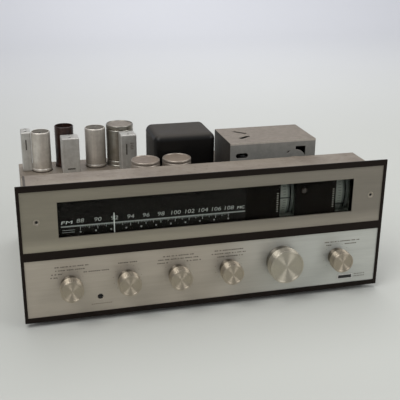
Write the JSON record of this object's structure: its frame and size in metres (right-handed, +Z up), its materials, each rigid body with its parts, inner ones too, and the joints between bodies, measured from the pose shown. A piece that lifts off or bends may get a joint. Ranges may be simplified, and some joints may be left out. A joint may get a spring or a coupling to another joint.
{
  "type": "valve radio tuner",
  "caption": "Mid-century valve FM radio tuner without its cover: dial and edge meters over a brushed knob panel, open chassis with cans, shields and transformer behind.",
  "frame": {"origin": "centre of the whole part's box at table height, under the feet", "axes": "+X to the right along the front panel, +Y from the front panel to the back panel, +Z up; the knobs face -Y"},
  "size_m": [0.375, 0.2636, 0.1578],
  "materials": {
    "frame_paint": "satin dark brown-black paint on an aluminium frame",
    "fascia_paint": "fine-brushed warm grey satin finish",
    "fascia_brushed": "brushed along its length, satin anodised",
    "bright_steel": "turned, zinc plated",
    "badge": "black enamel with a bright rim, blank",
    "dial_glass": "clear",
    "dial_black": "matt black with pale printed scale",
    "mask_brown": "very dark brown",
    "lamp_bezel": "bright rim round a clouded jewel",
    "pointer_white": "white enamel",
    "pulley_nylon": "off-white nylon",
    "dial_cord": "braided cord",
    "knob_aluminium": "champagne anodised, spun face",
    "flywheel_steel": "turned",
    "bearing_brass": "turned",
    "drum_plastic": "moulded, off-white aged",
    "gang_aluminium": "stamped plates",
    "gang_steel": "cadmium plated",
    "box_steel": "copper flashed steel gone dull",
    "phenolic": "resin-bonded paper, brown",
    "control_can": "plated steel",
    "meter_case": "moulded case with a pale scale strip",
    "needle_black": "black enamel",
    "lamp_glass": "tubular lamp, clear glass",
    "chassis_steel": "copper flashed steel gone dull",
    "housing_steel": "copper flashed steel gone dull",
    "foot_rubber": "black moulded rubber",
    "transformer_black": "satin black enamel",
    "core_steel": "varnished laminations",
    "shield_metal": "drawn, dull",
    "shield_black": "dark brown heat-radiating finish",
    "valve_glass": "clear blown glass",
    "can_aluminium": "drawn can, dull",
    "filter_can": "drawn can, dull",
    "copper_can": "copper coloured lid, bright rolled rim",
    "jack_plate": "nickel plate",
    "black_bakelite": "moulded"
  },
  "bodies": {
    "chassis": {"panel_frame": "frame_paint", "dial_fascia": "fascia_paint", "control_fascia": "fascia_brushed", "name_plate": "badge", "dial_glass": "dial_glass", "dial_scale": "dial_black", "meter_mask": "mask_brown", "stereo_lamp": "lamp_bezel", "pointer_rail": "bright_steel", "cord_pulleys": "pulley_nylon", "dial_cords": "dial_cord", "shaft_bearings": "bearing_brass", "gang_frame": "gang_steel", "rf_cover": "box_steel", "rotary_switches": "phenolic", "potentiometers": "control_can", "panel_nuts": "bright_steel", "meter_cases": "meter_case", "dial_lamps": "lamp_glass", "chassis_deck": "chassis_steel", "chassis_walls": "chassis_steel", "dial_housing": "housing_steel", "bottom_cover": "chassis_steel", "feet": "foot_rubber", "machine_screws": "bright_steel", "transformer_cover": "transformer_black", "transformer_core": "core_steel", "valve_shields": "shield_metal", "black_valve_shield": "shield_black", "valves": "valve_glass", "valve_sockets": "phenolic", "if_cans": "can_aluminium", "filter_can": "filter_can", "low_cans": "copper_can", "antenna_strip": "phenolic", "phono_jacks": "jack_plate", "fuse_holder": "black_bakelite", "mains_outlet": "black_bakelite", "cord_gland": "foot_rubber", "component_board": "phenolic"},
    "selector": {"selector_knob": "knob_aluminium", "selector_shaft": "bright_steel"},
    "level": {"level_knob": "knob_aluminium", "level_shaft": "bright_steel"},
    "mode": {"mode_knob": "knob_aluminium", "mode_shaft": "bright_steel"},
    "muting": {"muting_knob": "knob_aluminium", "muting_shaft": "bright_steel"},
    "balance": {"balance_knob": "knob_aluminium", "balance_shaft": "bright_steel"},
    "tuning": {"tuning_knob": "knob_aluminium", "tuning_shaft": "bright_steel", "flywheel": "flywheel_steel"},
    "dial_pointer": {"pointer": "pointer_white"},
    "gang": {"cord_drum": "drum_plastic", "gang_rotor": "gang_aluminium"},
    "tuning_meter_needle": {"tuning_needle": "needle_black"},
    "signal_meter_needle": {"signal_needle": "needle_black"},
    "preset": {"preset_spindle": "phenolic"},
    "fuse_cap": {"fuse_cap": "black_bakelite"}
  },
  "joints": [
    {"name": "selector_turn", "type": "hinge", "parent": "chassis", "child": "selector", "pos_m": [-0.1417, -0.11375, 0.043], "axis": [0, 1, 0], "range_deg": [-60, 60]},
    {"name": "level_turn", "type": "hinge", "parent": "chassis", "child": "level", "pos_m": [-0.0856, -0.11375, 0.043], "axis": [0, 1, 0], "range_deg": [-150, 150]},
    {"name": "mode_turn", "type": "hinge", "parent": "chassis", "child": "mode", "pos_m": [-0.0344, -0.11375, 0.043], "axis": [0, 1, 0], "range_deg": [-30, 30]},
    {"name": "muting_turn", "type": "hinge", "parent": "chassis", "child": "muting", "pos_m": [0.0188, -0.11375, 0.043], "axis": [0, 1, 0], "range_deg": [-150, 150]},
    {"name": "tuning_turn", "type": "hinge", "parent": "chassis", "child": "tuning", "pos_m": [0.0759, -0.11375, 0.045], "axis": [0, 1, 0], "range_deg": [-467, 1656]},
    {"name": "pointer_slide", "type": "slide", "parent": "chassis", "child": "dial_pointer", "axis": [1, 0, 0], "range_m": [-0.0327, 0.1157]},
    {"name": "gang_turn", "type": "hinge", "parent": "chassis", "child": "gang", "pos_m": [0.1135, -0.04275, 0.1085], "axis": [0, 1, 0], "range_deg": [-39.8, 140.9]},
    {"name": "balance_turn", "type": "hinge", "parent": "chassis", "child": "balance", "pos_m": [0.1382, -0.11375, 0.043], "axis": [0, 1, 0], "range_deg": [-150, 150]},
    {"name": "tuning_needle_swing", "type": "hinge", "parent": "chassis", "child": "tuning_meter_needle", "pos_m": [0.0863, -0.06775, 0.1104], "axis": [1, 0, 0], "range_deg": [-20, 20], "stiffness_Nm_per_rad": 0.002},
    {"name": "signal_needle_swing", "type": "hinge", "parent": "chassis", "child": "signal_meter_needle", "pos_m": [0.1474, -0.06775, 0.1104], "axis": [1, 0, 0], "range_deg": [-40, 0], "stiffness_Nm_per_rad": 0.002},
    {"name": "preset_turn", "type": "hinge", "parent": "chassis", "child": "preset", "pos_m": [-0.1131, -0.11375, 0.026], "axis": [0, 1, 0], "range_deg": [-135, 135]},
    {"name": "fuse_cap_turn", "type": "hinge", "parent": "chassis", "child": "fuse_cap", "pos_m": [0.1125, 0.12225, 0.035], "axis": [0, 1, 0], "range_deg": [0, 45]}
  ],
  "couplings": [
    {"joint": "pointer_slide", "follows": "tuning_turn", "m_per_rad": 0.004},
    {"joint": "gang_turn", "follows": "tuning_turn", "ratio": 0.085}
  ]
}
